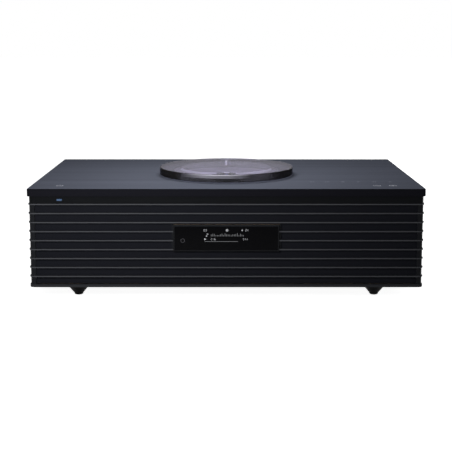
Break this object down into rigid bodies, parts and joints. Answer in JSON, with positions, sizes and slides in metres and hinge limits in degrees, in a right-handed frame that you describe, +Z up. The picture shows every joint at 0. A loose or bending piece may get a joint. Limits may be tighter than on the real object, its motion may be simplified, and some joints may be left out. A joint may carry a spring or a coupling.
{
  "type": "micro hi-fi system",
  "caption": "Compact one-box stereo with a louvred front, a dark display window, conical feet and a round clear lid that swings aside over a top-loading disc well.",
  "frame": {"origin": "on the floor plane under the middle of the top panel", "axes": "+X to the right seen from the front, +Y from the front to the back, +Z up"},
  "size_m": [0.453, 0.28, 0.1428],
  "materials": {
    "panel_alloy": "hairline brushed, dark anodised",
    "well_satin": "satin silver-grey moulding",
    "grille_black": "satin black moulding",
    "cloth_black": "fine woven acoustic cloth",
    "board_fibre": "fibreboard",
    "board_black": "fibreboard, black lacquer",
    "base_steel": "black powder coat",
    "foot_black": "black moulding",
    "rubber_black": "soft rubber",
    "rear_black": "black powder coat",
    "bezel_black": "black moulding",
    "window_smoke": "dark acrylic",
    "module_black": "display glass on its board",
    "sensor_dark": "dark filter plastic",
    "light_blue": "frosted light guide",
    "board_green": "circuit board",
    "board_tan": "circuit board",
    "alloy_bare": "extruded aluminium",
    "socket_black": "black moulding",
    "socket_metal": "plated shell",
    "basket_steel": "pressed steel, black",
    "magnet_dark": "ferrite and steel",
    "cone_black": "coated pulp cone",
    "roll_black": "rubber roll and treated cloth",
    "tweeter_black": "black moulding",
    "dome_silver": "thin metal dome",
    "port_black": "black moulding",
    "steel_plate": "zinc-plated steel",
    "steel_bright": "ground steel",
    "hub_silver": "satin metal hub",
    "sled_black": "cast sled",
    "lens_glass": "coated lens",
    "brass": "turned brass",
    "gear_white": "moulded gear",
    "lid_acrylic": "smoked clear acrylic",
    "pivot_metal": "turned metal",
    "bush_bronze": "sintered bronze",
    "clip_steel": "spring steel",
    "screw_black": "black zinc"
  },
  "bodies": {
    "cabinet": {"aerial_socket": "socket_metal", "audio_jack": "socket_black", "back_board": "board_black", "base_plate": "base_steel", "cabinet_screws": "screw_black", "chassis_screws": "steel_plate", "damper_bushes": "rubber_black", "disc_well": "well_satin", "display_bezel": "bezel_black", "display_module": "module_black", "display_window": "window_smoke", "divider_boards": "board_fibre", "drive_chassis": "steel_plate", "feet": "foot_black", "foot_pads": "rubber_black", "front_baffle": "board_fibre", "grille_cloth": "cloth_black", "guide_rods": "steel_bright", "heat_sink": "alloy_bare", "left_woofer_suspension": "roll_black", "louvre_grille": "grille_black", "main_board": "board_green", "mains_inlet": "socket_black", "network_socket": "socket_metal", "optical_socket": "socket_black", "pivot_bush": "bush_bronze", "port_ducts": "port_black", "power_board": "board_tan", "rear_panel": "rear_black", "remote_sensor": "sensor_dark", "right_woofer_suspension": "roll_black", "side_boards": "board_fibre", "sled_motor": "steel_plate", "spindle_motor": "steel_plate", "status_light": "light_blue", "subwoofer_basket": "basket_steel", "subwoofer_magnet": "magnet_dark", "subwoofer_suspension": "roll_black", "top_panel": "panel_alloy", "touch_boards": "board_green", "tweeter_bodies": "tweeter_black", "usb_socket": "socket_metal", "woofer_baskets": "basket_steel", "woofer_magnets": "magnet_dark"},
    "lid": {"disc_lid": "lid_acrylic", "lid_pivot": "pivot_metal", "pivot_clip": "clip_steel"},
    "turntable_hub": {"turntable": "hub_silver", "spindle_shaft": "steel_bright", "hub_mat": "rubber_black"},
    "sled": {"pickup_sled": "sled_black"},
    "lens": {"lens_holder": "sled_black", "objective_lens": "lens_glass"},
    "compound_gear": {"sled_gear": "gear_white"},
    "drive_pinion": {"motor_pinion": "brass"},
    "left_cone": {"left_woofer_cone": "cone_black"},
    "right_cone": {"right_woofer_cone": "cone_black"},
    "sub_cone": {"subwoofer_cone": "cone_black"},
    "left_dome": {"left_tweeter_dome": "dome_silver"},
    "right_dome": {"right_tweeter_dome": "dome_silver"}
  },
  "joints": [
    {"name": "lid_swing", "type": "hinge", "parent": "cabinet", "child": "lid", "pos_m": [0, 0.053, 0.1337], "axis": [0, 0, 1], "range_deg": [0, 120]},
    {"name": "turntable_spin", "type": "hinge", "parent": "cabinet", "child": "turntable_hub", "pos_m": [0, -0.019, 0.1285], "axis": [0, 0, 1], "continuous": true},
    {"name": "pickup_slide", "type": "slide", "parent": "cabinet", "child": "sled", "axis": [0, -1, 0], "range_m": [0, 0.033]},
    {"name": "gear_turn", "type": "hinge", "parent": "cabinet", "child": "compound_gear", "pos_m": [-0.0414, -0.057, 0.1074], "axis": [0, 0, 1], "range_deg": [-400, 5]},
    {"name": "pinion_turn", "type": "hinge", "parent": "cabinet", "child": "drive_pinion", "pos_m": [-0.0414, -0.0386, 0.1074], "axis": [0, 0, 1], "range_deg": [-18, 1440]},
    {"name": "lens_focus", "type": "slide", "parent": "sled", "child": "lens", "axis": [0, 0, 1], "range_m": [-0.0005, 0.0005], "stiffness_N_per_m": 60},
    {"name": "left_cone_move", "type": "slide", "parent": "cabinet", "child": "left_cone", "axis": [0, -1, 0], "range_m": [-0.003, 0.003], "stiffness_N_per_m": 800, "deforming": ["left_woofer_suspension"]},
    {"name": "right_cone_move", "type": "slide", "parent": "cabinet", "child": "right_cone", "axis": [0, -1, 0], "range_m": [-0.003, 0.003], "stiffness_N_per_m": 800, "deforming": ["right_woofer_suspension"]},
    {"name": "sub_cone_move", "type": "slide", "parent": "cabinet", "child": "sub_cone", "axis": [0, 0, -1], "range_m": [-0.003, 0.003], "stiffness_N_per_m": 1200, "deforming": ["subwoofer_suspension"]},
    {"name": "left_dome_move", "type": "slide", "parent": "cabinet", "child": "left_dome", "axis": [0, -1, 0], "range_m": [-0.0003, 0.0003], "stiffness_N_per_m": 60},
    {"name": "right_dome_move", "type": "slide", "parent": "cabinet", "child": "right_dome", "axis": [0, -1, 0], "range_m": [-0.0003, 0.0003], "stiffness_N_per_m": 60}
  ],
  "couplings": [
    {"joint": "gear_turn", "follows": "pickup_slide", "rad_per_m": -208.33},
    {"joint": "pinion_turn", "follows": "pickup_slide", "rad_per_m": 750}
  ]
}
